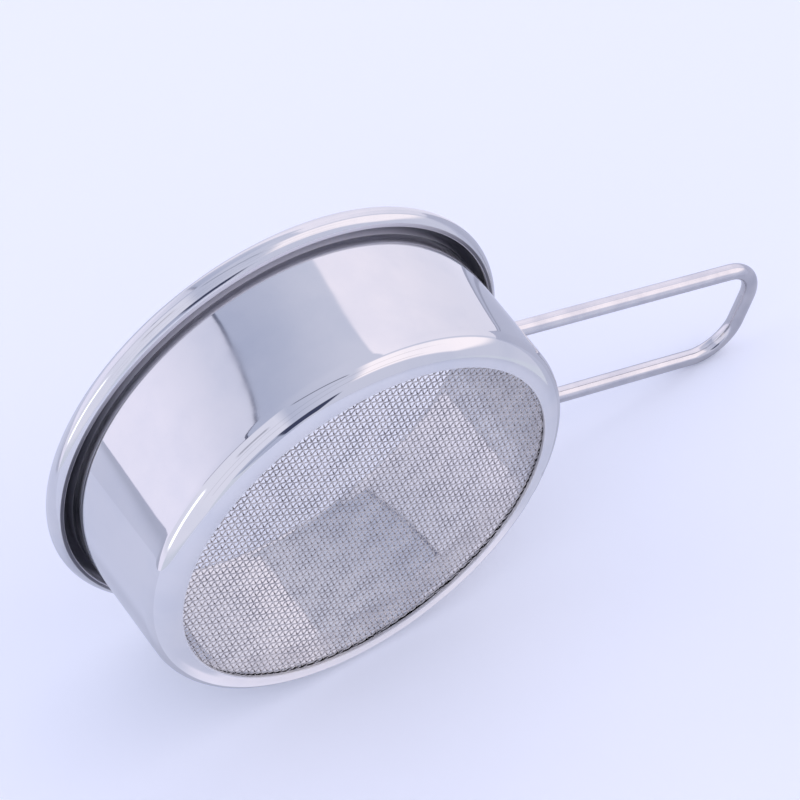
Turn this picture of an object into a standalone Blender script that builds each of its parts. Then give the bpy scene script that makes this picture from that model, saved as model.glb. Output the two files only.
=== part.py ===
"""Hand flour sifter: a drawn steel cup with a curled rim, a woven sieve bottom and a wire loop handle.

The sifter stands on its bottom edge with the mouth up (+Z). The handle points along +X.
The origin is the middle of the whole object's footprint, on the surface that it stands on.
All lengths are in metres.
"""

import math

import bmesh
import bpy
from mathutils import Matrix, Vector

MM = 0.001

# Cup
SHEET = 0.6 * MM  # thickness of the drawn sheet
CUP_BASE_R = 40.9 * MM  # outside of the wall, above the bottom corner
CUP_TOP_R = 41.1 * MM  # outside of the wall, where the rim curl begins
CORNER_R = 4.0 * MM  # outside radius of the bottom corner
SIEVE_HOLE_R = 36.0 * MM  # inner edge of the bottom flange
CURL_R = 1.55 * MM  # hollow of the rim curl
CURL_Z = 29.35 * MM  # height of the curl's centre
CURL_END = math.radians(-82)  # where the curl's cut edge stops, from the outward direction
RIM_R = CUP_TOP_R + 2 * CURL_R + SHEET

# Sieve and the hoop that holds it
CLEARANCE = 0.3 * MM
SIEVE_R = 37.4 * MM
SIEVE_LOW_Z = 0.95 * MM
SIEVE_HIGH_Z = 1.5 * MM
HOOP_HOLE_R = 36.2 * MM
HOOP_LOW_Z = SIEVE_HIGH_Z + CLEARANCE
HOOP_TOP_Z = 8.0 * MM
HOOP_CORNER_R = CORNER_R - SHEET - CLEARANCE

# Handle: one wire bent into a loop, its two ends turned in along the wall
WIRE_R = 1.5 * MM
HANDLE_Z = 23.7 * MM
LEG_Y = 11.0 * MM  # from the middle of the loop to the middle of a leg
LOOP_END_X = 103.5 * MM  # middle of the wire at the far end, from the cup's axis
LOOP_CORNER_R = 8.0 * MM
FOOT_BEND_R = 3.0 * MM
FOOT_R = CUP_TOP_R + CLEARANCE + WIRE_R
FOOT_START = math.radians(1.4)  # each wire end stops this far from the middle

# Weld bead under each foot of the handle
BEAD_R = 0.75 * MM
BEAD_RING_R = CUP_TOP_R + CLEARANCE + BEAD_R
BEAD_GAP = WIRE_R + CLEARANCE + BEAD_R
BEAD_Z = HANDLE_Z - math.sqrt(BEAD_GAP**2 - (FOOT_R - BEAD_RING_R) ** 2)
BEAD_START = math.radians(2.5)
BEAD_END = math.radians(8.5)

# Facets
TURN_STEPS = 64
CURL_STEPS = 14
CORNER_STEPS = 6
BEND_STEPS = 7

# The cup's axis, from the middle of the footprint
CUP_X = (RIM_R - LOOP_END_X - WIRE_R) / 2

STEEL = (0.72, 0.73, 0.76, 1.0)


def clear_scene():
    for obj in list(bpy.data.objects):
        bpy.data.objects.remove(obj, do_unlink=True)


def steel(name, roughness):
    material = bpy.data.materials.new(name)
    material.use_nodes = True
    shader = material.node_tree.nodes["Principled BSDF"]
    shader.inputs["Base Color"].default_value = STEEL
    shader.inputs["Metallic"].default_value = 1.0
    shader.inputs["Roughness"].default_value = roughness
    return material


def arc(centre, radius, start, end, steps):
    """Points (x, y) along a circular arc, both ends included."""
    points = []
    for step in range(steps + 1):
        angle = start + (end - start) * step / steps
        points.append((centre[0] + radius * math.cos(angle), centre[1] + radius * math.sin(angle)))
    return points


def add_object(collection, name, data, material):
    obj = bpy.data.objects.new(name, data)
    obj.location.x = CUP_X
    data.materials.append(material)
    collection.objects.link(obj)
    return obj


def turned_sheet(collection, name, profile, material):
    """A sheet turned about Z: its outer surface follows the profile, from the top down."""
    mesh = bpy.data.meshes.new(name)
    points = [(radius, 0.0, height) for radius, height in profile]
    edges = [(i, i + 1) for i in range(len(points) - 1)]
    mesh.from_pydata(points, edges, [])
    obj = add_object(collection, name, mesh, material)

    turn = obj.modifiers.new("Turn", "SCREW")
    turn.steps = TURN_STEPS
    turn.render_steps = TURN_STEPS
    turn.use_merge_vertices = True
    turn.merge_threshold = 0.00001
    turn.use_smooth_shade = True

    sheet = obj.modifiers.new("Sheet", "SOLIDIFY")
    sheet.thickness = SHEET
    sheet.offset = -1.0
    sheet.use_even_offset = True
    return obj


def make_cup(collection):
    curl_centre = (CUP_TOP_R + CURL_R, CURL_Z)
    curl = arc(curl_centre, CURL_R, CURL_END, math.pi, CURL_STEPS)
    corner_centre = (CUP_BASE_R - CORNER_R, CORNER_R)
    corner = arc(corner_centre, CORNER_R, 0.0, -math.pi / 2, CORNER_STEPS)
    flange = [(SIEVE_HOLE_R, 0.0)]
    turned_sheet(collection, "body_shell", curl + corner + flange, steel("polished_steel", 0.08))


def make_hoop(collection):
    corner_r = CUP_BASE_R - CORNER_R
    drop = CORNER_R - HOOP_LOW_Z
    bottom = -math.asin(drop / HOOP_CORNER_R)
    leg = [(corner_r + HOOP_CORNER_R, HOOP_TOP_Z)]
    corner = arc((corner_r, CORNER_R), HOOP_CORNER_R, 0.0, bottom, CORNER_STEPS)
    flange = [(HOOP_HOLE_R, HOOP_LOW_Z)]
    turned_sheet(collection, "retaining_hoop", leg + corner + flange, steel("pressed_steel", 0.2))


def make_sieve(collection):
    mesh = bpy.data.meshes.new("sieve_disc")
    shape = bmesh.new()
    bmesh.ops.create_cone(
        shape,
        cap_ends=True,
        segments=TURN_STEPS,
        radius1=SIEVE_R,
        radius2=SIEVE_R,
        depth=SIEVE_HIGH_Z - SIEVE_LOW_Z,
        matrix=Matrix.Translation((0, 0, (SIEVE_LOW_Z + SIEVE_HIGH_Z) / 2)),
    )
    shape.to_mesh(mesh)
    shape.free()
    add_object(collection, "sieve_disc", mesh, steel("woven_steel", 0.35))


def wire(collection, name, route, radius, material):
    """A round wire along a route of flat (x, y) points, lying at height zero of its object."""
    curve = bpy.data.curves.new(name, "CURVE")
    curve.dimensions = "3D"
    curve.bevel_depth = radius
    curve.bevel_resolution = 3
    curve.use_fill_caps = True
    spline = curve.splines.new("POLY")
    spline.points.add(len(route) - 1)
    for point, (x, y) in zip(spline.points, route):
        point.co = (x, y, 0.0, 1.0)
    return add_object(collection, name, curve, material)


def mirrored(route):
    return [(x, -y) for x, y in reversed(route)]


def make_handle(collection):
    # Half of the loop, from the end of one foot to the middle of the far end.
    bend_y = LEG_Y - FOOT_BEND_R
    bend_centre = Vector((math.sqrt((FOOT_R + FOOT_BEND_R) ** 2 - bend_y**2), bend_y))
    foot_end = math.atan2(bend_centre.y, bend_centre.x)
    foot = arc((0, 0), FOOT_R, FOOT_START, foot_end, BEND_STEPS)
    bend = arc(bend_centre, FOOT_BEND_R, foot_end + math.pi, math.pi / 2, BEND_STEPS)
    corner_centre = (LOOP_END_X - LOOP_CORNER_R, LEG_Y - LOOP_CORNER_R)
    corner = arc(corner_centre, LOOP_CORNER_R, math.pi / 2, 0.0, BEND_STEPS)
    half = foot + bend[1:] + corner
    handle = wire(collection, "handle_wire", half + mirrored(half), WIRE_R, steel("wire_steel", 0.15))
    handle.location.z = HANDLE_Z


def make_weld_beads(collection):
    material = steel("weld_steel", 0.3)
    for name, side in (("handle_weld_left", 1), ("handle_weld_right", -1)):
        route = arc((0, 0), BEAD_RING_R, side * BEAD_START, side * BEAD_END, BEND_STEPS)
        bead = wire(collection, name, route, BEAD_R, material)
        bead.location.z = BEAD_Z


def main():
    clear_scene()
    collection = bpy.data.collections.new("flour_sifter")
    bpy.context.scene.collection.children.link(collection)
    make_cup(collection)
    make_sieve(collection)
    make_hoop(collection)
    make_handle(collection)
    make_weld_beads(collection)


main()
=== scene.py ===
"""Looks of the hand flour sifter: polished cup, woven wire cloth, drawn wire handle, welds, studio.

Every piece is built about the cup's axis, in metres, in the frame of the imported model. The sizes
below are the model's own driving dimensions.
"""

import math
import random

import bpy
import numpy as np
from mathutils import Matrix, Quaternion, Vector


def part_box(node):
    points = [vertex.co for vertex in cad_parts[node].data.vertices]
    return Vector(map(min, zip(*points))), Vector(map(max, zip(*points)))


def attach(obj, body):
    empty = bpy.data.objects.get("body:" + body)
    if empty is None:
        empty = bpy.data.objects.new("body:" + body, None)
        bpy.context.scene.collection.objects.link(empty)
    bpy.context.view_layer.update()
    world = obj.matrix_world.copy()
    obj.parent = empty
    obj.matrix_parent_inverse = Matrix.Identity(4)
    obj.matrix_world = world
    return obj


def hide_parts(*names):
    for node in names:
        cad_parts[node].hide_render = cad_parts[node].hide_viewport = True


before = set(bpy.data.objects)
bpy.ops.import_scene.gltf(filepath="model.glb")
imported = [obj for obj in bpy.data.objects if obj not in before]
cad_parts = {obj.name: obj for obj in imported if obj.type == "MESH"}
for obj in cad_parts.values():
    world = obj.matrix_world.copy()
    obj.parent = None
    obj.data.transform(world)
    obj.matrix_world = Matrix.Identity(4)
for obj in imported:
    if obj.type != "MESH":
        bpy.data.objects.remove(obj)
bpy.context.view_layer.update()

MM = 0.001
shell_low, shell_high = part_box("body_shell")
CUP_X = (shell_low.x + shell_high.x) / 2

# Cup
SHEET = 0.6 * MM
CUP_BASE_R = 40.9 * MM  # outside of the wall, above the bottom corner
CUP_TOP_R = 41.1 * MM  # outside of the wall, where the rim curl begins
CORNER_R = 4.0 * MM
SIEVE_HOLE_R = 36.0 * MM
CURL_R = 1.55 * MM  # hollow of the rim curl
CURL_Z = 29.35 * MM
CURL_END = math.radians(-82)
EDGE_R = 0.12 * MM  # rounding of a cut edge of the sheet
WAVE_COUNTS = (3, 5, 8, 13, 21, 34)  # press waves round the cup
WAVE_HEIGHT = 0.05 * MM
WAVE_MIDDLE = 4.5 * MM  # the waves are highest here, along the sheet, in the bottom corner
WAVE_WIDTH = 3.0 * MM
WAVE_ON_WALL = 0.25  # their share of that height everywhere else
DENTS = (
    # azimuth in degrees, distance along the sheet, width and depth in mm
    (0.5, 2.4, 0.9, 0.10),
    (3.6, 3.1, 0.6, 0.06),
    (9.6, 2.9, 0.8, 0.09),
    (11.8, 2.0, 0.45, -0.06),
    (-51.0, 7.0, 0.7, 0.07),
    (203.0, 14.0, 1.3, 0.012),
    (236.0, 21.0, 1.1, 0.010),
    (262.0, 11.0, 1.4, 0.012),
)

# Dull hollow under the curl, measured along the sheet from where the curl begins
HOLLOW_START = -1.9 * MM
HOLLOW_SOFT = 0.08 * MM
HOLLOW_LIP = 0.5 * MM  # how far the dull surface reaches round the curl's cut edge
# Painted shade: the hollow's grey, from its shaded colour at the ends to its lit colour
HOLLOW_SHADED = (0.09, 0.09, 0.11, 1)
HOLLOW_LIT = (0.74, 0.73, 0.78, 1)
LIT_TURN = math.radians(-110)  # painted light: the hollow's grey is lightest on this side and on the opposite one
LIT_FROM = 16 * MM
LIT_TO = 46 * MM
LIP_FROM = 3 * MM  # painted light: the inside of the lip is lighter too
LIP_TO = 5 * MM
LIP_LIT = 25 * MM
HOLLOW_METAL = 0.1
HOLLOW_ROUGH = 0.4  # how much rougher than the polish each surface is
RIM_ROUGH = 0.07
RAW_EDGE_ROUGH = 0.45

# Woven cloth, pinched between the cup's flange and the hoop
CLOTH_R = 37.3 * MM
CLOTH_WIRE_R = 0.14 * MM
CLOTH_Z = SHEET + 2.1 * CLOTH_WIRE_R
CLOTH_GRIP_R = SIEVE_HOLE_R - 0.6 * MM  # the wires are squashed together from here outwards
CLOTH_GRIP_SOFT = 0.5 * MM
CLOTH_SQUASH = 0.75
WARP_PITCH = 0.955 * MM
WEFT_PITCH = 1.15 * MM
WARP_TURN = math.radians(-33)  # the way across the warp wires, from the handle's direction
CLOTH_SAG = 0.12 * MM
CLOTH_SWAY = 0.07 * MM

# Hoop that holds the cloth
HOOP_GAP = 0.03 * MM
HOOP_HOLE_R = 36.2 * MM
HOOP_LOW_Z = CLOTH_Z + 2.1 * CLOTH_WIRE_R
HOOP_TOP_Z = 8.0 * MM

# Handle and its welds
WIRE_R = 1.5 * MM
HANDLE_Z = 23.7 * MM
LEG_Y = 11.0 * MM
LOOP_END_X = 103.5 * MM
LOOP_CORNER_R = 8.0 * MM
FOOT_BEND_R = 3.0 * MM
FOOT_R = CUP_TOP_R + 0.3 * MM + WIRE_R
FOOT_START = math.radians(1.4)
FOOT_TAPER = 0.8
BEAD_R = 1.0 * MM
BEAD_RING_R = CUP_TOP_R + 0.85 * BEAD_R
BEAD_Z = 21.35 * MM
BEAD_START = math.radians(2.2)
BEAD_END = math.radians(8.8)
BEAD_SCALES = 7
BEAD_SCALE_HEIGHT = 0.07

# Facets: steps round a turn or a bend, and the spacing along a straight run
TURN_STEPS = 470
CURL_STEPS = 40
CORNER_STEPS = 24
EDGE_STEPS = 5
FLANGE_SPACING = 0.2 * MM
WALL_SPACING = 0.95 * MM
HOOP_STEPS = 320
HOOP_CORNER_STEPS = 16
HOOP_FLANGE_SPACING = 0.3 * MM
HOOP_LEG_SPACING = 0.5 * MM
HANDLE_SIDES = 40
FOOT_STEPS = 12
FOOT_BEND_STEPS = 20
LOOP_CORNER_STEPS = 32
LEG_SPACING = 1.5 * MM
LOOP_END_SPACING = 1.0 * MM
BEAD_SIDES = 24
BEAD_STEPS = 48
WIRE_SIDES = 6
WIRE_STATIONS = 3  # rings of a cloth wire from one crossing to the next

# Floor: the sifter lies on its rim, its bottom corner and the far corner of its handle
FLOOR_TILT = math.radians(-8.7)
FLOOR_TURN = math.radians(70.6)
FLOOR_HALF = 1.2
FLOOR_GAP = 0.05 * MM
FLOOR_COLOURS = ((0.855, 0.886, 0.95, 1), (0.875, 0.901, 0.96, 1))
# Painted light: the floor glows with this colour, though it is no lamp
FLOOR_GLOW = (0.085, 0.094, 0.120, 1)
FLOOR_SHADE = (0.12, 0.13, 0.18, 1)
# Painted highlight: the colour of a glowing spot seen only in reflections
FLOOR_SPARK = (0.64, 0.56, 0.58, 1)

# Where the floor ends in reflections: across from the cup's axis, and the lean of the end's line
FAR_RIGHT = 90 * MM
FAR_LEFT = -150 * MM
HIGH_Z = -20 * MM
RIGHT_END, RIGHT_LEAN = 50 * MM, 0.286
LEFT_END, LEFT_LEAN = 28 * MM, 0.48
UPPER_END, UPPER_LEAN = 40 * MM, 0.4

# Painted shade on the floor, seen only in reflections, as a share of the shade's colour
RIGHT_SHADE, RIGHT_FADE = 0.27, 220 * MM
LEFT_SHADE, LEFT_FADE = 0.08, 400 * MM
# Painted shade: the strength of the thin dark lines seen in reflections
LINE_SHADE = 0.22
FAR_SHADE, CLOSE_SHADE = 0.10, 0.26
SPARK_SHARE = 0.6

# Studio light by direction. A lamp is dimmer at its far end. Its sides lean over between two
# heights: from, to, then the lean at each, all in degrees.
LAMP_LEAN = (28.6, 32.4, -8.4, 14.4)
GENTLE_LEAN = (30.3, 32.4, 0.0, 7.0)
SLOPE_START, SLOPE = -108.0, 0.8
COLOURS = {
    "pale": (0.80, 0.84, 1.0, 1),
    "dim ceiling": (0.57, 0.61, 0.82, 1),
    "ceiling": (0.77, 0.79, 0.98, 1),
    "left lamp": (1.09, 1.06, 1.28, 1),
    "dim left lamp": (0.84, 0.85, 1.06, 1),
    "right lamp": (1.17, 1.11, 1.27, 1),
    "dim right lamp": (0.93, 0.92, 1.10, 1),
    "low left": (0.95, 0.95, 1.13, 1),
    "pink": (1.34, 1.24, 1.34, 1),
    "streak": (2.2, 2.2, 2.3, 1),
    "slate": (0.16, 0.17, 0.24, 1),
    "navy": (0.06, 0.07, 0.14, 1),
}
PATCHES = (
    # colour, how far it covers the ones before it, then what it lies between: low, high, soft edge
    ("pale", 1.0, (("turn", 20, 180, 8),)),
    ("left lamp", 1.0, (("back", 120, 221, 0.5), ("rise", 0, 90, 3))),
    ("navy", 0.85, (("back", 220.3, 221.5, 0.5), ("rise", 25, 80, 3))),
    ("navy", 0.6, (("back", 194, 221, 4), ("rise", 24.4, 25.2, 1))),
    ("low left", 1.0, (("back", 160, 236, 8), ("rise", -56, 22, 3))),
    ("right lamp", 1.0, (("gentle", -75, 50, 2), ("rise", 7, 90, 4))),
    ("pink", 1.0, (("turn", -82, -24, 10), ("rise", -40, -3, 5))),
    ("streak", 1.0, (("back", 163, 189, 6), ("rise", -1.5, 5, 1.5))),
    ("navy", 1.0, (("turn", -136, -92, 6), ("rise", -75, -60, 3))),
    ("slate", 0.4, (("turn", -178, -136, 5), ("rise", -66, -64.5, 1.5))),
    ("slate", 0.5, (("turn", -152, -139, 4), ("rise", -8, -3, 2))),
    ("slate", 0.8, (("slope", 1, 3, 2), ("turn", -120, -97, 4))),
    ("slate", 0.25, (("rise", -18, -17.2, 1.2), ("turn", -170, -60, 20))),
    ("slate", 0.3, (("rise", -36, -35.2, 1.2), ("turn", -170, -60, 20))),
)

# Camera
VIEW_TURN = math.radians(49.3)
VIEW_RISE = math.radians(30.05)
VIEW_ROLL = math.radians(-38.8)
VIEW_DISTANCE = 584 * MM
LOOK_AT = Vector((CUP_X + 9.2 * MM, -16.2 * MM, 11.6 * MM))
FOCAL_LENGTH = 156.6


# ---------------------------------------------------------------- mesh tools

def arc(centre, radius, start, end, steps):
    """Points (x, y, heading) along a circular arc, both ends included."""
    quarter = math.copysign(math.pi / 2, end - start)
    points = []
    for angle in np.linspace(start, end, steps + 1):
        x = centre[0] + radius * math.cos(angle)
        y = centre[1] + radius * math.sin(angle)
        points.append((x, y, angle + quarter))
    return points


def line(start, end, step):
    """Points (x, y, heading) along a straight run, both ends left out."""
    heading = math.atan2(end[1] - start[1], end[0] - start[0])
    count = max(2, round(math.dist(start[:2], end[:2]) / step))
    points = []
    for index in range(1, count):
        share = index / count
        x = start[0] + (end[0] - start[0]) * share
        y = start[1] + (end[1] - start[1]) * share
        points.append((x, y, heading))
    return points


def add_piece(name, verts, faces, material, node):
    """A smooth closed piece that rides on the body and stands for a CAD node."""
    mesh = bpy.data.meshes.new(name)
    mesh.from_pydata([tuple(vert) for vert in verts], [], faces)
    mesh.shade_smooth()
    mesh.materials.append(material)
    obj = bpy.data.objects.new(name, mesh)
    bpy.context.scene.collection.objects.link(obj)
    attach(obj, "root")
    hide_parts(node)
    return obj


def add_measure(obj, name, values):
    """A number for each vertex, which the piece's material reads by name."""
    measure = obj.data.attributes.new(name, "FLOAT", "POINT")
    measure.data.foreach_set("value", np.asarray(values, dtype=np.float32).ravel())


def sheet_section(middle):
    """Closed outline of a sheet whose middle follows the points (radius, height, heading).

    Gives four arrays with a row for each point: its radius and height, the sheet's normal there, its
    distance along the sheet, and its face, which is 1 right of the heading and -1 left of it.
    """
    middle = np.array(middle)
    place, heading = middle[:, :2], middle[:, 2]
    along = np.stack([np.cos(heading), np.sin(heading)], axis=1)
    across = np.stack([np.sin(heading), -np.cos(heading)], axis=1)
    run = np.concatenate([[0], np.cumsum(np.linalg.norm(np.diff(place, axis=0), axis=1))])
    half = SHEET / 2
    points, normals, runs, sides = [], [], [], []
    for side, order, tip in ((1, slice(None), -1), (-1, slice(None, None, -1), 0)):
        points.extend(place[order] + side * half * across[order])
        normals.extend(across[order])
        runs.extend(run[order])
        for corner, first in ((1, 0.0), (-1, math.pi / 2)):
            heart = place[tip] + corner * side * (half - EDGE_R) * across[tip]
            for step in range(1, EDGE_STEPS):
                angle = first + step / EDGE_STEPS * math.pi / 2
                out = math.cos(angle) * across[tip] + math.sin(angle) * along[tip]
                points.append(heart + EDGE_R * side * out)
                normals.append(across[tip])
                runs.append(run[tip])
        sides.extend([side] * (len(points) - len(sides)))
    return np.array(points), np.array(normals), np.array(runs), np.array(sides)


def turned(section, steps, relief=None):
    """Vertices and faces of a section turned about the cup's axis.

    relief(turn, run) gives how far the sheet stands proud at an azimuth and a distance along it.
    """
    points, normals, runs, _ = section
    turn = np.linspace(0, 2 * math.pi, steps, endpoint=False)[:, None]
    proud = relief(turn, runs[None, :]) if relief else np.zeros_like(turn)
    radius = points[None, :, 0] + proud * normals[None, :, 0]
    height = points[None, :, 1] + proud * normals[None, :, 1]
    verts = np.stack([CUP_X + radius * np.cos(turn), radius * np.sin(turn), height], axis=-1)
    count = len(points)
    faces = []
    for i in range(steps):
        here, there = i * count, (i + 1) % steps * count
        for k in range(count):
            after = (k + 1) % count
            faces.append((here + k, there + k, there + after, here + after))
    return verts.reshape(-1, 3), faces


def tube(points, headings, plane, radii, sides):
    """Vertices and faces of a round wire along points. Its headings are square to the normal, plane."""
    points = np.asarray(points, dtype=float)
    headings = np.asarray(headings, dtype=float)
    plane = np.asarray(plane, dtype=float)
    across = np.cross(headings, plane)
    turn = np.linspace(0, 2 * math.pi, sides, endpoint=False)[None, :, None]
    ring = np.cos(turn) * across[:, None, :] + np.sin(turn) * plane
    radii = np.broadcast_to(radii, len(points))[:, None, None]
    verts = (points[:, None, :] + radii * ring).reshape(-1, 3)
    faces = [tuple(range(sides))]
    for i in range(len(points) - 1):
        for j in range(sides):
            here, beside = i * sides + j, i * sides + (j + 1) % sides
            faces.append((here, here + sides, beside + sides, beside))
    last = (len(points) - 1) * sides
    faces.append(tuple(last + j for j in reversed(range(sides))))
    return verts, faces


def level_wire(route, height, radii, sides):
    """A wire along (x, y, heading) points about the cup's axis, all at one height."""
    points = [(CUP_X + x, y, height) for x, y, _ in route]
    headings = [(math.cos(heading), math.sin(heading), 0.0) for _, _, heading in route]
    return tube(points, headings, (0, 0, 1), radii, sides)


# ---------------------------------------------------------------- materials

def add_node(tree, kind, inputs=None, **settings):
    """A node with its settings. Each input is a value or another node's output."""
    node = tree.nodes.new(kind)
    for key, value in settings.items():
        setattr(node, key, value)
    for key, value in (inputs or {}).items():
        if isinstance(value, bpy.types.NodeSocket):
            tree.links.new(value, node.inputs[key])
        else:
            node.inputs[key].default_value = value
    return node


def maths(tree, operation, first, second=0.0):
    return add_node(tree, "ShaderNodeMath", {0: first, 1: second}, operation=operation).outputs[0]


def between(tree, value, from_low, from_high, to_low, to_high):
    """A value carried smoothly from one range to another."""
    inputs = {
        "Value": value,
        "From Min": from_low,
        "From Max": from_high,
        "To Min": to_low,
        "To Max": to_high,
    }
    return add_node(tree, "ShaderNodeMapRange", inputs, interpolation_type="SMOOTHSTEP").outputs[0]


def product(tree, first, *others):
    for other in others:
        first = maths(tree, "MULTIPLY", first, other)
    return first


def total(tree, first, *others):
    for other in others:
        first = maths(tree, "ADD", first, other)
    return first


def window(tree, value, low, high, soft):
    """1 between low and high, falling to 0 over the soft width outside them."""
    rise = between(tree, value, low - soft, low, 0.0, 1.0)
    fall = between(tree, value, high, high + soft, 1.0, 0.0)
    return product(tree, rise, fall)


def mixed(tree, share, first, second):
    """The first colour, turned into the second by the share."""
    node = tree.nodes.new("ShaderNodeMix")
    node.data_type = "RGBA"
    colour_inputs = (node.inputs[0], node.inputs[6], node.inputs[7])
    for socket, value in zip(colour_inputs, (share, first, second)):
        if isinstance(value, bpy.types.NodeSocket):
            tree.links.new(value, socket)
        else:
            socket.default_value = value
    return node.outputs[2]


def measured(tree, name):
    """A number that add_measure gave the piece's vertices."""
    return add_node(tree, "ShaderNodeAttribute", attribute_name=name).outputs["Fac"]


def stretched_noise(tree, place, stretch, scale, detail=4.0):
    """Noise in the piece's own space, drawn out along the axes by the stretch."""
    spread = add_node(tree, "ShaderNodeVectorMath", {0: place, 1: stretch}, operation="MULTIPLY")
    inputs = {"Vector": spread.outputs[0], "Scale": scale, "Detail": detail}
    return add_node(tree, "ShaderNodeTexNoise", inputs).outputs["Fac"]


def steel(
    name, light, dark, roughness, smudge_scale, line_stretch, line_scale, line_height, wave_height=0
):
    """Bright steel: cloudy smudges in colour and roughness, fine working lines in relief.

    line_height and wave_height are in metres. The stretch is small along the working lines.
    """
    material = bpy.data.materials.new(name)
    material.use_nodes = True
    tree = material.node_tree
    shader = tree.nodes["Principled BSDF"]
    shader.inputs["Metallic"].default_value = 1.0
    place = add_node(tree, "ShaderNodeTexCoord").outputs["Object"]
    smudge = stretched_noise(tree, place, (1, 1, 1), smudge_scale, 5.0)
    lines = stretched_noise(tree, place, line_stretch, line_scale, 3.0)
    share = between(tree, smudge, 0.35, 0.7, 0.0, 1.0)
    tree.links.new(mixed(tree, share, light, dark), shader.inputs["Base Color"])
    cloud = between(tree, smudge, 0.3, 0.75, roughness[0], roughness[1])
    fine = between(tree, lines, 0.3, 0.8, 0.0, (roughness[1] - roughness[0]) * 0.6)
    tree.links.new(total(tree, cloud, fine), shader.inputs["Roughness"])
    height = product(tree, lines, line_height)
    if wave_height:
        wave = stretched_noise(tree, place, (1, 1, 1), 130.0, 2.0)
        height = total(tree, height, product(tree, wave, wave_height))
    bump = add_node(tree, "ShaderNodeBump", {"Strength": 1.0, "Distance": 1.0, "Height": height})
    tree.links.new(bump.outputs[0], shader.inputs["Normal"])
    return material


def hollow_painted_shade(tree, past):
    """Painted shade in the dull hollow: a dark grey, with painted light on two opposite sides and on
    the inside of the lip.
    """
    place = add_node(tree, "ShaderNodeTexCoord").outputs["Object"]
    parts = add_node(tree, "ShaderNodeSeparateXYZ", {0: place}).outputs
    side_x = product(tree, maths(tree, "SUBTRACT", parts["X"], CUP_X), math.cos(LIT_TURN))
    side_y = product(tree, parts["Y"], math.sin(LIT_TURN))
    reach = maths(tree, "ABSOLUTE", total(tree, side_x, side_y))
    lip = between(tree, past, LIP_FROM, LIP_TO, 0.0, LIP_LIT)
    unmarked = between(tree, total(tree, reach, lip), LIT_FROM, LIT_TO, 0.0, 1.0)
    return mixed(tree, unmarked, HOLLOW_SHADED, HOLLOW_LIT)


def cup_steel():
    """Mirror polish. The rolled rim is less even, and the hollow under it was never polished; the
    hollow's grey is painted shade.
    """
    material = steel(
        "polished_cup_steel",
        light=(0.71, 0.71, 0.715, 1),
        dark=(0.66, 0.67, 0.69, 1),
        roughness=(0.02, 0.045),
        smudge_scale=90.0,
        line_stretch=(0.03, 0.03, 1.0),
        line_scale=9000.0,
        line_height=0.06e-6,
        wave_height=4e-6,
    )
    tree = material.node_tree
    shader = tree.nodes["Principled BSDF"]
    unmarked = shader.inputs["Base Color"].links[0].from_socket
    polish = shader.inputs["Roughness"].links[0].from_socket
    past = measured(tree, "past_curl")
    hollow = between(tree, past, HOLLOW_START - HOLLOW_SOFT, HOLLOW_START + HOLLOW_SOFT, 0.0, 1.0)
    # Painted shade: the hollow's grey takes the place of the polished colour
    colour = mixed(tree, hollow, unmarked, hollow_painted_shade(tree, past))
    metal = maths(tree, "SUBTRACT", 1.0, product(tree, hollow, 1 - HOLLOW_METAL))
    dull = product(tree, hollow, HOLLOW_ROUGH)
    worn = product(tree, measured(tree, "rim"), RIM_ROUGH)
    sawn = product(tree, measured(tree, "raw_edge"), RAW_EDGE_ROUGH)
    tree.links.new(colour, shader.inputs["Base Color"])
    tree.links.new(metal, shader.inputs["Metallic"])
    tree.links.new(total(tree, polish, dull, worn, sawn), shader.inputs["Roughness"])
    return material


def cloth_steel():
    """Drawn wire, each wire a little lighter or darker than the next."""
    material = steel(
        "woven_cloth_steel",
        light=(0.62, 0.59, 0.57, 1),
        dark=(0.46, 0.44, 0.44, 1),
        roughness=(0.14, 0.26),
        smudge_scale=260.0,
        line_stretch=(1.0, 1.0, 1.0),
        line_scale=16000.0,
        line_height=1.2e-6,
    )
    tree = material.node_tree
    shader = tree.nodes["Principled BSDF"]
    unmarked = shader.inputs["Base Color"].links[0].from_socket
    share = between(tree, measured(tree, "tone"), 0.0, 1.0, 0.0, 0.2)
    tree.links.new(mixed(tree, share, unmarked, (0.36, 0.34, 0.34, 1)), shader.inputs["Base Color"])
    return material


def handle_steel():
    return steel(
        "drawn_handle_steel",
        light=(0.70, 0.69, 0.70, 1),
        dark=(0.60, 0.60, 0.63, 1),
        roughness=(0.10, 0.17),
        smudge_scale=180.0,
        line_stretch=(0.02, 1.0, 1.0),
        line_scale=7000.0,
        line_height=0.5e-6,
    )


def hoop_steel():
    return steel(
        "pressed_hoop_steel",
        light=(0.68, 0.68, 0.69, 1),
        dark=(0.58, 0.58, 0.60, 1),
        roughness=(0.14, 0.24),
        smudge_scale=150.0,
        line_stretch=(0.05, 0.05, 1.0),
        line_scale=5000.0,
        line_height=0.6e-6,
    )


def weld_steel():
    """Fused bead with straw and blue heat tint towards its ends."""
    material = steel(
        "fused_weld_steel",
        light=(0.60, 0.58, 0.55, 1),
        dark=(0.42, 0.40, 0.40, 1),
        roughness=(0.22, 0.42),
        smudge_scale=900.0,
        line_stretch=(1.0, 1.0, 1.0),
        line_scale=3500.0,
        line_height=14e-6,
    )
    tree = material.node_tree
    shader = tree.nodes["Principled BSDF"]
    unmarked = shader.inputs["Base Color"].links[0].from_socket
    place = add_node(tree, "ShaderNodeTexCoord").outputs["Object"]
    heat = stretched_noise(tree, place, (1, 1, 1), 420.0, 1.0)
    tint = add_node(tree, "ShaderNodeValToRGB", {"Fac": heat})
    stops = tint.color_ramp
    stops.elements[0].position = 0.35
    stops.elements[0].color = (0.46, 0.34, 0.20, 1)
    stops.elements[1].position = 0.65
    stops.elements[1].color = (0.24, 0.27, 0.40, 1)
    tree.links.new(mixed(tree, 0.35, unmarked, tint.outputs["Color"]), shader.inputs["Base Color"])
    return material


# ---------------------------------------------------------------- pieces

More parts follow.
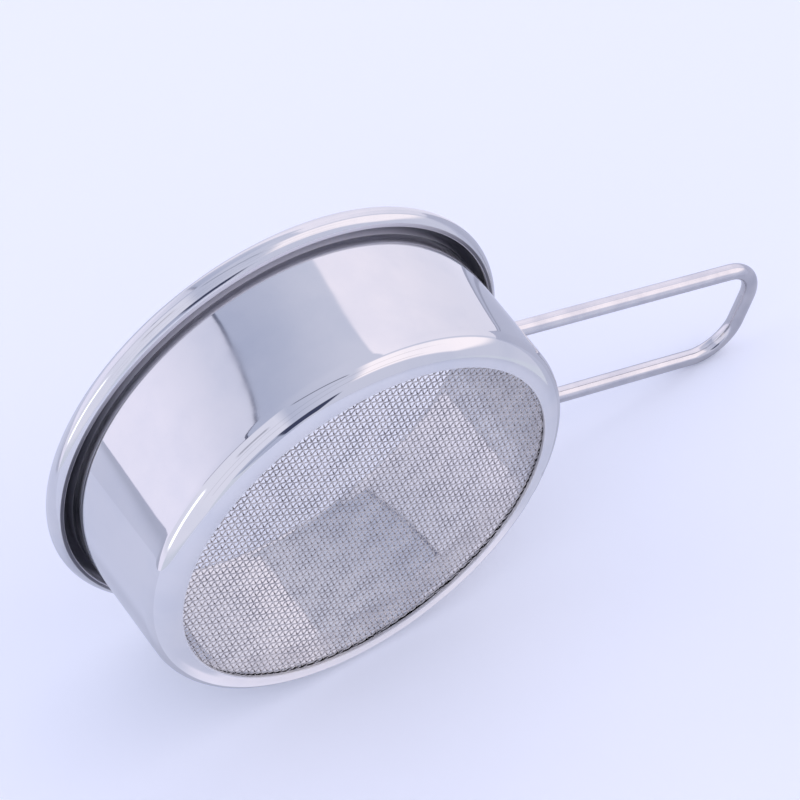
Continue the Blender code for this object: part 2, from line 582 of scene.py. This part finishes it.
def cup_middle():
    """Middle of the cup's sheet, from the flange's inner edge out, up the wall and round the curl."""
    half = SHEET / 2
    corner = arc((CUP_BASE_R - CORNER_R, CORNER_R), CORNER_R - half, -math.pi / 2, 0.0, CORNER_STEPS)
    curl = arc((CUP_TOP_R + CURL_R, CURL_Z), CURL_R + half, math.pi, CURL_END, CURL_STEPS)
    start = (SIEVE_HOLE_R, half, 0.0)
    flange = [start] + line(start, corner[0], FLANGE_SPACING)
    wall = line(corner[-1], curl[0], WALL_SPACING)
    return flange + corner + wall + curl


def cup_relief(turn, run):
    """Slow waves left by the drawing press, strongest at the bottom corner, and a few small dents."""
    waves = random.Random(5)
    proud = 0.0
    corner = np.exp(-(((run - WAVE_MIDDLE) / WAVE_WIDTH) ** 2))
    for count in WAVE_COUNTS:
        wave = np.sin(count * turn + waves.uniform(0, 2 * math.pi))
        proud = proud + WAVE_HEIGHT / count * wave * (WAVE_ON_WALL + corner)
    for azimuth, place, width, depth in DENTS:
        gap = np.angle(np.exp(1j * (turn - math.radians(azimuth)))) * CUP_BASE_R
        reach = (gap**2 + (run - place * MM) ** 2) / (width * MM) ** 2
        proud = proud - depth * MM * np.exp(-reach)
    return proud


def make_cup():
    section = sheet_section(cup_middle())
    verts, faces = turned(section, TURN_STEPS, cup_relief)
    cup = add_piece("polished_cup", verts, faces, cup_steel(), "body_shell")
    _, _, runs, sides = section
    curl_run = runs.max() - (CURL_R + SHEET / 2) * (math.pi - CURL_END)
    # On the curl's outside only the last stretch before the cut edge is dull.
    past_outside = runs - runs.max() + HOLLOW_START + HOLLOW_LIP
    past_curl = np.where(sides > 0, runs - curl_run, past_outside)
    add_measure(cup, "past_curl", np.tile(past_curl, TURN_STEPS))
    add_measure(cup, "rim", np.tile((sides < 0) * (runs > curl_run), TURN_STEPS))
    add_measure(cup, "raw_edge", np.tile(runs < 0.05 * MM, TURN_STEPS))


def make_hoop():
    half = SHEET / 2
    centre = (CUP_BASE_R - CORNER_R, CORNER_R)
    radius = CORNER_R - SHEET - HOOP_GAP - half
    bottom = -math.asin((CORNER_R - HOOP_LOW_Z - half) / radius)
    corner = arc(centre, radius, bottom, 0.0, HOOP_CORNER_STEPS)
    start = (HOOP_HOLE_R, HOOP_LOW_Z + half, 0.0)
    end = (centre[0] + radius, HOOP_TOP_Z, math.pi / 2)
    flange = [start] + line(start, corner[0], HOOP_FLANGE_SPACING)
    leg = line(corner[-1], end, HOOP_LEG_SPACING) + [end]
    verts, faces = turned(sheet_section(flange + corner + leg), HOOP_STEPS)
    add_piece("pressed_hoop", verts, faces, hoop_steel(), "retaining_hoop")


def cloth_shape(flat):
    """The cloth's lie: it bellies up a little in the middle and its wires sway from true."""
    x, y = flat[:, 0], flat[:, 1]
    wave_x = np.sin(95 * y + 0.6) + 0.5 * np.sin(210 * x + 140 * y)
    wave_y = np.sin(80 * x + 2.1) + 0.5 * np.sin(190 * y - 120 * x + 1.0)
    edge = np.clip(1 - (x**2 + y**2) / CLOTH_R**2, 0, 1)
    flat = flat.copy()
    flat[:, 0] += CUP_X + CLOTH_SWAY * wave_x * edge
    flat[:, 1] += CLOTH_SWAY * wave_y * edge
    flat[:, 2] += CLOTH_SAG * edge
    return flat


def wire_route(number, across, along, pitch, crossing_pitch, side):
    """Points and headings of one wire, which goes over and under the wires that it crosses."""
    offset = number * pitch
    reach = math.sqrt(CLOTH_R**2 - offset**2)
    last = int(reach / crossing_pitch * WIRE_STATIONS - 0.5)
    inner = [i * crossing_pitch / WIRE_STATIONS for i in range(-last, last + 1)]
    stations = np.array([-reach] + inner + [reach])
    phase = math.pi * (stations / crossing_pitch + number)
    points = across * offset + stations[:, None] * along
    radius = np.hypot(points[:, 0], points[:, 1])
    grip = np.clip((radius - CLOTH_GRIP_R) / CLOTH_GRIP_SOFT, 0, 1)
    lift = side * CLOTH_WIRE_R * (1.01 - CLOTH_SQUASH * grip)
    points[:, 2] = CLOTH_Z + lift * np.cos(phase)
    slope = -lift * np.sin(phase) * math.pi / crossing_pitch
    headings = (along + slope[:, None] * np.array([0, 0, 1])) / np.sqrt(1 + slope**2)[:, None]
    return points, headings


def make_wires(name, turn, pitch, crossing_pitch, side, material):
    """One family of parallel wires. Their lift is opposite to the other family's."""
    across = np.array([math.cos(turn), math.sin(turn), 0.0])
    along = np.array([-math.sin(turn), math.cos(turn), 0.0])
    verts, faces, tones = [], [], []
    shades = random.Random(name)
    count = int((CLOTH_R - crossing_pitch) / pitch)
    for number in range(-count, count + 1):
        points, headings = wire_route(number, across, along, pitch, crossing_pitch, side)
        wire_verts, wire_faces = tube(points, headings, across, CLOTH_WIRE_R, WIRE_SIDES)
        start = len(tones)
        faces.extend(tuple(start + index for index in face) for face in wire_faces)
        verts.append(wire_verts)
        tones.extend([shades.random()] * len(wire_verts))
    placed = cloth_shape(np.concatenate(verts))
    wires = add_piece(name, placed, faces, material, "sieve_disc")
    add_measure(wires, "tone", tones)


def make_cloth():
    material = cloth_steel()
    make_wires("cloth_warp", WARP_TURN, WARP_PITCH, WEFT_PITCH, 1, material)
    make_wires("cloth_weft", WARP_TURN + math.pi / 2, WEFT_PITCH, WARP_PITCH, -1, material)


def make_handle():
    bend_y = LEG_Y - FOOT_BEND_R
    bend_x = math.sqrt((FOOT_R + FOOT_BEND_R) ** 2 - bend_y**2)
    foot_end = math.atan2(bend_y, bend_x)
    foot = arc((0, 0), FOOT_R, FOOT_START, foot_end, FOOT_STEPS)
    bend = arc((bend_x, bend_y), FOOT_BEND_R, foot_end + math.pi, math.pi / 2, FOOT_BEND_STEPS)
    corner_centre = (LOOP_END_X - LOOP_CORNER_R, LEG_Y - LOOP_CORNER_R)
    corner = arc(corner_centre, LOOP_CORNER_R, math.pi / 2, 0.0, LOOP_CORNER_STEPS)
    half = foot + bend[1:] + line(bend[-1], corner[0], LEG_SPACING) + corner
    other = [(x, -y, math.pi - heading) for x, y, heading in reversed(half)]
    route = half + line(half[-1], other[0], LOOP_END_SPACING) + other
    radii = np.full(len(route), WIRE_R)
    radii[[0, -1]] = FOOT_TAPER * WIRE_R
    verts, faces = level_wire(route, HANDLE_Z, radii, HANDLE_SIDES)
    add_piece("loop_handle", verts, faces, handle_steel(), "handle_wire")


def make_weld(name, node, side, material):
    """A short bead of overlapping scales that fills the corner between the foot and the wall."""
    scales = random.Random(name)
    route = arc((0, 0), BEAD_RING_R, side * BEAD_START, side * BEAD_END, BEAD_STEPS)
    share = np.linspace(0, 1, len(route))
    dome = np.sqrt(np.clip(1 - (2 * share - 1) ** 8, 0.02, 1))
    scale = np.abs(np.sin(BEAD_SCALES * math.pi * share + scales.uniform(0, 1)))
    ripple = 1 + BEAD_SCALE_HEIGHT * scale
    verts, faces = level_wire(route, BEAD_Z, BEAD_R * dome * ripple, BEAD_SIDES)
    add_piece(name, verts, faces, material, node)


def make_welds():
    material = weld_steel()
    make_weld("weld_left", "handle_weld_left", 1, material)
    make_weld("weld_right", "handle_weld_right", -1, material)


# ---------------------------------------------------------------- studio

def floor_normal():
    """The way from the sifter down to the floor."""
    flat = math.cos(FLOOR_TILT)
    return Vector((math.cos(FLOOR_TURN) * flat, math.sin(FLOOR_TURN) * flat, math.sin(FLOOR_TILT)))


def floor_material():
    """A pale sheet with a painted glow added to its light. It is clear from behind and where it ends in
    reflections.
    """
    material = bpy.data.materials.new("pale_floor")
    material.use_nodes = True
    tree = material.node_tree
    tree.nodes.clear()
    geometry = add_node(tree, "ShaderNodeNewGeometry").outputs
    glossy = add_node(tree, "ShaderNodeLightPath").outputs["Is Glossy Ray"]
    parts = add_node(tree, "ShaderNodeSeparateXYZ", {0: geometry["Position"]}).outputs
    height = parts["Z"]
    side = maths(tree, "SUBTRACT", parts["X"], CUP_X)
    right = total(tree, parts["Y"], product(tree, side, RIGHT_LEAN))
    left = total(tree, parts["Y"], product(tree, side, LEFT_LEAN))
    upper = maths(tree, "SUBTRACT", height, product(tree, side, UPPER_LEAN))
    level_x = product(tree, side, -math.sin(FLOOR_TURN))
    level = total(tree, level_x, product(tree, parts["Y"], math.cos(FLOOR_TURN)))

    # The ends, where the lamps stand
    far_right = maths(tree, "GREATER_THAN", side, FAR_RIGHT)
    far_left = maths(tree, "LESS_THAN", side, FAR_LEFT)
    high = maths(tree, "GREATER_THAN", height, HIGH_Z)
    past_upper = product(tree, maths(tree, "GREATER_THAN", upper, UPPER_END), high)
    low = maths(tree, "SUBTRACT", 1.0, high)
    past_lower = product(tree, maths(tree, "LESS_THAN", right, RIGHT_END), low)
    past_right = product(tree, maths(tree, "MAXIMUM", past_upper, past_lower), far_right)
    past_left = product(tree, maths(tree, "LESS_THAN", left, LEFT_END), far_left)
    past = product(tree, glossy, maths(tree, "MAXIMUM", past_right, past_left))
    gone = maths(tree, "MAXIMUM", geometry["Backfacing"], past)

    # Painted shade, seen only in reflections: thin dark lines along the ends, shade that fades away
    # from them, and shade close to the sifter
    shade_line = window(tree, upper, UPPER_END - 1.6 * MM, UPPER_END, 0.8 * MM)
    second = window(tree, upper, UPPER_END - 7 * MM, UPPER_END - 5.8 * MM, 0.8 * MM)
    shade_lines_right = product(tree, total(tree, shade_line, second), far_right)
    shade_line_left = product(tree, window(tree, left, LEFT_END, LEFT_END + 6 * MM, 6 * MM), far_left)
    shade_lines = product(tree, total(tree, shade_lines_right, shade_line_left), LINE_SHADE)
    fade_right = between(tree, right, RIGHT_END, RIGHT_FADE, RIGHT_SHADE, 0.0)
    shade_right = product(tree, fade_right, between(tree, side, 50 * MM, 110 * MM, 0.0, 1.0))
    fade_left = between(tree, left, LEFT_END, LEFT_FADE, LEFT_SHADE, 0.0)
    shade_left = product(tree, fade_left, far_left)
    under = between(tree, height, 0.5 * MM, 2.0 * MM, 0.0, 1.0)
    beside = window(tree, level, -60 * MM, 45 * MM, 20 * MM)
    close = between(tree, beside, 0.0, 1.0, FAR_SHADE, CLOSE_SHADE)
    shade = total(tree, shade_right, shade_left, shade_lines, product(tree, under, close))
    shade = product(tree, shade, glossy)

    # Painted highlight: a bright glowing spot on the floor beside the sifter, seen only in reflections
    spot_level = window(tree, level, -30 * MM, 30 * MM, 14 * MM)
    spot_height = window(tree, height, -9 * MM, -0.5 * MM, 3 * MM)
    spot = product(tree, spot_level, spot_height, SPARK_SHARE, glossy)

    cloud = stretched_noise(tree, geometry["Position"], (1, 1, 1), 6.0, 2.0)
    colour = mixed(tree, shade, mixed(tree, cloud, *FLOOR_COLOURS), FLOOR_SHADE)
    # Painted light: the floor's glow, dimmed by the painted shade, with the painted highlight
    glow = mixed(tree, spot, mixed(tree, shade, FLOOR_GLOW, (0, 0, 0, 1)), FLOOR_SPARK)
    matt = add_node(tree, "ShaderNodeBsdfDiffuse", {"Color": colour}).outputs[0]
    lit = add_node(tree, "ShaderNodeEmission", {"Color": glow}).outputs[0]
    both = add_node(tree, "ShaderNodeAddShader", {0: matt, 1: lit}).outputs[0]
    clear = add_node(tree, "ShaderNodeBsdfTransparent").outputs[0]
    surface = add_node(tree, "ShaderNodeMixShader", {0: gone, 1: both, 2: clear}).outputs[0]
    add_node(tree, "ShaderNodeOutputMaterial", {"Surface": surface})
    return material


def make_floor():
    """A square floor that just clears the rim's curl."""
    down = floor_normal()
    curl_heart_drop = (CUP_TOP_R + CURL_R) * math.cos(FLOOR_TILT) + CURL_Z * math.sin(FLOOR_TILT)
    drop = curl_heart_drop + CURL_R + SHEET + FLOOR_GAP
    corners = [(x * FLOOR_HALF, y * FLOOR_HALF, 0) for x, y in ((-1, -1), (1, -1), (1, 1), (-1, 1))]
    mesh = bpy.data.meshes.new("floor")
    mesh.from_pydata(corners, [], [(0, 1, 2, 3)])
    mesh.materials.append(floor_material())
    floor = bpy.data.objects.new("floor", mesh)
    floor.location = Vector((CUP_X, 0, 0)) + down * drop
    floor.rotation_mode = "QUATERNION"
    floor.rotation_quaternion = (-down).to_track_quat("Z", "Y")
    bpy.context.scene.collection.objects.link(floor)


def sky_measures(tree):
    """The direction's azimuth and height in degrees, and the same leaned over for the lamps' sides."""
    way = add_node(tree, "ShaderNodeTexCoord").outputs["Generated"]
    parts = add_node(tree, "ShaderNodeSeparateXYZ", {0: way}).outputs
    turn = maths(tree, "DEGREES", maths(tree, "ARCTAN2", parts["Y"], parts["X"]))
    rise = maths(tree, "DEGREES", maths(tree, "ARCSINE", parts["Z"]))
    lean = maths(tree, "SUBTRACT", turn, between(tree, rise, *LAMP_LEAN))
    return {
        "turn": turn,
        "rise": rise,
        "lean": lean,
        "back": maths(tree, "FLOORED_MODULO", lean, 360.0),
        "gentle": maths(tree, "SUBTRACT", turn, between(tree, rise, *GENTLE_LEAN)),
        "slope": total(tree, rise, product(tree, maths(tree, "SUBTRACT", turn, SLOPE_START), SLOPE)),
    }


def make_world():
    """Two large lamps beside the sifter, a greyer ceiling between them, and a few dark lines."""
    world = bpy.data.worlds.new("studio")
    world.use_nodes = True
    bpy.context.scene.world = world
    tree = world.node_tree
    tree.nodes.clear()
    measures = sky_measures(tree)
    lean, back = measures["lean"], measures["back"]
    colours = dict(COLOURS)
    left_far = between(tree, back, 165, 221, 0.0, 1.0)
    right_far = between(tree, lean, -75, 8, 0.0, 1.0)
    colours["left lamp"] = mixed(tree, left_far, COLOURS["left lamp"], COLOURS["dim left lamp"])
    colours["right lamp"] = mixed(tree, right_far, COLOURS["right lamp"], COLOURS["dim right lamp"])

    ceiling_near = between(tree, lean, -135, -80, 0.0, 1.0)
    light = mixed(tree, ceiling_near, COLOURS["dim ceiling"], COLOURS["ceiling"])
    for colour, share, windows in PATCHES:
        openings = [window(tree, measures[name], *edges) for name, *edges in windows]
        light = mixed(tree, product(tree, share, *openings), light, colours[colour])

    seen = add_node(tree, "ShaderNodeLightPath").outputs["Is Camera Ray"]
    colour = mixed(tree, seen, light, COLOURS["pale"])
    background = add_node(tree, "ShaderNodeBackground", {"Color": colour, "Strength": 1.0})
    add_node(tree, "ShaderNodeOutputWorld", {"Surface": background.outputs[0]})


def view_direction():
    level = math.cos(VIEW_RISE)
    return Vector((level * math.cos(VIEW_TURN), level * math.sin(VIEW_TURN), math.sin(VIEW_RISE)))


def make_camera():
    camera = bpy.data.cameras.new("camera")
    camera.lens = FOCAL_LENGTH
    camera.clip_start = 10 * MM
    camera.clip_end = 20
    obj = bpy.data.objects.new("camera", camera)
    way = view_direction()
    obj.location = LOOK_AT - way * VIEW_DISTANCE
    obj.rotation_mode = "QUATERNION"
    obj.rotation_quaternion = way.to_track_quat("-Z", "Y") @ Quaternion((0, 0, 1), VIEW_ROLL)
    bpy.context.scene.collection.objects.link(obj)
    bpy.context.scene.camera = obj


make_camera()
make_world()
make_floor()
make_cup()
make_hoop()
make_cloth()
make_handle()
make_welds()
bpy.context.scene.view_settings.view_transform = "Standard"
